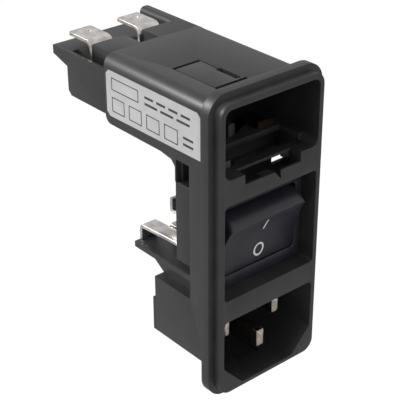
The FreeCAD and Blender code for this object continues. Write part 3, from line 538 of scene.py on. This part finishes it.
# Geometry nodes that repeat one field along the label
def rowOfFields():
    tree = bpy.data.node_groups.new("rowOfFields", "GeometryNodeTree")
    for name in ("Pitch", "Length", "Height", "Thickness", "Stroke"):
        tree.interface.new_socket(name, in_out="INPUT", socket_type="NodeSocketFloat")
    tree.interface.new_socket("Count", in_out="INPUT", socket_type="NodeSocketInt")
    tree.interface.new_socket("Framed", in_out="INPUT", socket_type="NodeSocketBool")
    tree.interface.new_socket("Ink", in_out="INPUT", socket_type="NodeSocketMaterial")
    tree.interface.new_socket("Geometry", in_out="OUTPUT", socket_type="NodeSocketGeometry")
    given = addNode(tree, "NodeGroupInput")
    step = addNode(tree, "ShaderNodeCombineXYZ", {"Y": given.outputs["Pitch"]})
    line = addNode(
        tree,
        "GeometryNodeMeshLine",
        {"Count": given.outputs["Count"], "Offset": step.outputs["Vector"]},
    )
    size = addNode(
        tree,
        "ShaderNodeCombineXYZ",
        {
            "X": given.outputs["Thickness"],
            "Y": given.outputs["Length"],
            "Z": given.outputs["Height"],
        },
    )
    bar = addNode(tree, "GeometryNodeMeshCube", {"Size": size.outputs["Vector"]})
    path = addNode(
        tree,
        "GeometryNodeCurvePrimitiveQuadrilateral",
        {"Width": given.outputs["Length"], "Height": given.outputs["Height"]},
    )
    section = addNode(
        tree,
        "GeometryNodeCurvePrimitiveQuadrilateral",
        {"Width": given.outputs["Stroke"], "Height": given.outputs["Thickness"]},
    )
    swept = addNode(
        tree,
        "GeometryNodeCurveToMesh",
        {"Curve": path.outputs["Curve"], "Profile Curve": section.outputs["Curve"]},
    )
    outline = addNode(
        tree,
        "GeometryNodeTransform",
        {"Geometry": swept.outputs["Mesh"], "Rotation": (math.pi / 2, 0, math.pi / 2)},
    )
    field = addNode(
        tree,
        "GeometryNodeSwitch",
        {
            "Switch": given.outputs["Framed"],
            "False": bar.outputs["Mesh"],
            "True": outline.outputs["Geometry"],
        },
        input_type="GEOMETRY",
    )
    copies = addNode(
        tree,
        "GeometryNodeInstanceOnPoints",
        {"Points": line.outputs["Mesh"], "Instance": field.outputs["Output"]},
    )
    solid = addNode(
        tree, "GeometryNodeRealizeInstances", {"Geometry": copies.outputs["Instances"]}
    )
    inked = addNode(
        tree,
        "GeometryNodeSetMaterial",
        {"Geometry": solid.outputs["Geometry"], "Material": given.outputs["Ink"]},
    )
    addNode(tree, "NodeGroupOutput", {"Geometry": inked.outputs["Geometry"]})
    return tree


def printLabel():
    low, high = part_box("rating_label")
    tree = rowOfFields()
    sockets = {
        item.name: item.identifier for item in tree.interface.items_tree if item.in_out == "INPUT"
    }
    for number, row in enumerate(labelPrint["rows"]):
        carrier = bpy.data.objects.new("carrier", bpy.data.meshes.new("carrier"))
        scene.collection.objects.link(carrier)
        maker = carrier.modifiers.new("fields", "NODES")
        maker.node_group = tree
        maker[sockets["Count"]] = row["count"]
        maker[sockets["Pitch"]] = -row["pitch"] * mm
        maker[sockets["Length"]] = row["length"] * mm
        maker[sockets["Height"]] = row.get("frameHeight", labelPrint["barHeight"]) * mm
        maker[sockets["Thickness"]] = labelPrint["thickness"] * 2 * mm
        maker[sockets["Stroke"]] = labelPrint["stroke"] * mm
        maker[sockets["Framed"]] = "frameHeight" in row
        maker[sockets["Ink"]] = materials["greyInk"]
        mesh = bpy.data.meshes.new_from_object(
            carrier.evaluated_get(bpy.context.evaluated_depsgraph_get())
        )
        bpy.data.objects.remove(carrier)
        along = high.y - (row["start"] + row["length"] / 2) * mm
        mesh.transform(Matrix.Translation((low.x, along, low.z + row["level"] * mm)))
        piece = bpy.data.objects.new(f"labelFields{number}", mesh)
        scene.collection.objects.link(piece)
        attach(piece, "housing")


printLabel()
print("label printed")


# A floor that the camera sees nearly white and that lights the module as a pale matt one does
def makeFloor():
    bottom = cadBox[0].z - studio["floorDrop"] * mm
    half = studio["floorHalf"] * mm
    mesh = bpy.data.meshes.new("floor")
    corners = [
        (-half, -half, bottom),
        (half, -half, bottom),
        (half, half, bottom),
        (-half, half, bottom),
    ]
    mesh.from_pydata(corners, [], [(0, 1, 2, 3)])
    floor = bpy.data.objects.new("floor", mesh)
    scene.collection.objects.link(floor)
    material = bpy.data.materials.new("paleFloor")
    material.use_nodes = True
    tree = material.node_tree
    tree.nodes.clear()
    path = addNode(tree, "ShaderNodeLightPath")
    shown = addNode(
        tree,
        "ShaderNodeMath",
        {0: path.outputs["Is Camera Ray"], 1: studio["floorGlow"]},
        operation="MULTIPLY",
    )
    matt = addNode(tree, "ShaderNodeBsdfDiffuse", {"Color": linear(studio["floorColor"])})
    white = addNode(
        tree,
        "ShaderNodeEmission",
        {"Color": linear(studio["background"]), "Strength": studio["floorWhite"]},
    )
    mixed = addNode(
        tree,
        "ShaderNodeMixShader",
        {0: shown.outputs[0], 1: matt.outputs["BSDF"], 2: white.outputs["Emission"]},
    )
    addNode(tree, "ShaderNodeOutputMaterial", {"Surface": mixed.outputs["Shader"]})
    floor.data.materials.append(material)


# A sky that the camera sees white
def makeSky():
    world = bpy.data.worlds.new("studio")
    world.use_nodes = True
    scene.world = world
    tree = world.node_tree
    tree.nodes.clear()
    path = addNode(tree, "ShaderNodeLightPath")
    mirrored = addNode(
        tree,
        "ShaderNodeMapRange",
        {
            "Value": path.outputs["Is Glossy Ray"],
            "To Min": studio["skyStrength"],
            "To Max": studio["skyMirror"],
        },
    )
    strength = addNode(
        tree,
        "ShaderNodeMath",
        {0: mirrored.outputs["Result"], 1: path.outputs["Is Camera Ray"]},
        operation="MAXIMUM",
    )
    sky = addNode(
        tree,
        "ShaderNodeBackground",
        {"Color": linear(studio["background"]), "Strength": strength.outputs[0]},
    )
    addNode(tree, "ShaderNodeOutputWorld", {"Surface": sky.outputs["Background"]})


def makeLamps():
    aim = Vector(studio["aim"]) * mm
    for lamp in studio["lamps"]:
        light = bpy.data.lights.new(lamp["name"], "AREA")
        light.shape = "DISK"
        light.size = lamp["size"] * mm
        light.energy = lamp["power"]
        holder = bpy.data.objects.new(lamp["name"], light)
        scene.collection.objects.link(holder)
        holder.location = Vector(lamp["place"]) * mm
        holder.visible_diffuse = not lamp.get("sheen", False)
        holder.rotation_euler = (aim - holder.location).to_track_quat("-Z", "Y").to_euler()


def makeCamera():
    azimuth = math.radians(view["azimuth"])
    elevation = math.radians(view["elevation"])
    back = Vector(
        (
            math.sin(azimuth) * math.cos(elevation),
            -math.cos(azimuth) * math.cos(elevation),
            math.sin(elevation),
        )
    )
    camera = bpy.data.cameras.new("camera")
    camera.lens = view["focal"]
    camera.sensor_width = view["sensor"]
    holder = bpy.data.objects.new("camera", camera)
    scene.collection.objects.link(holder)
    turn = (-back).to_track_quat("-Z", "Y").to_matrix().to_4x4()
    roll = Matrix.Rotation(math.radians(view["roll"]), 4, "Z")
    place = Vector(view["target"]) * mm + back * view["distance"] * mm
    holder.matrix_world = Matrix.Translation(place) @ turn @ roll
    scene.camera = holder


makeFloor()
makeSky()
makeLamps()
makeCamera()
scene.view_settings.view_transform = "Standard"
print("studio set")
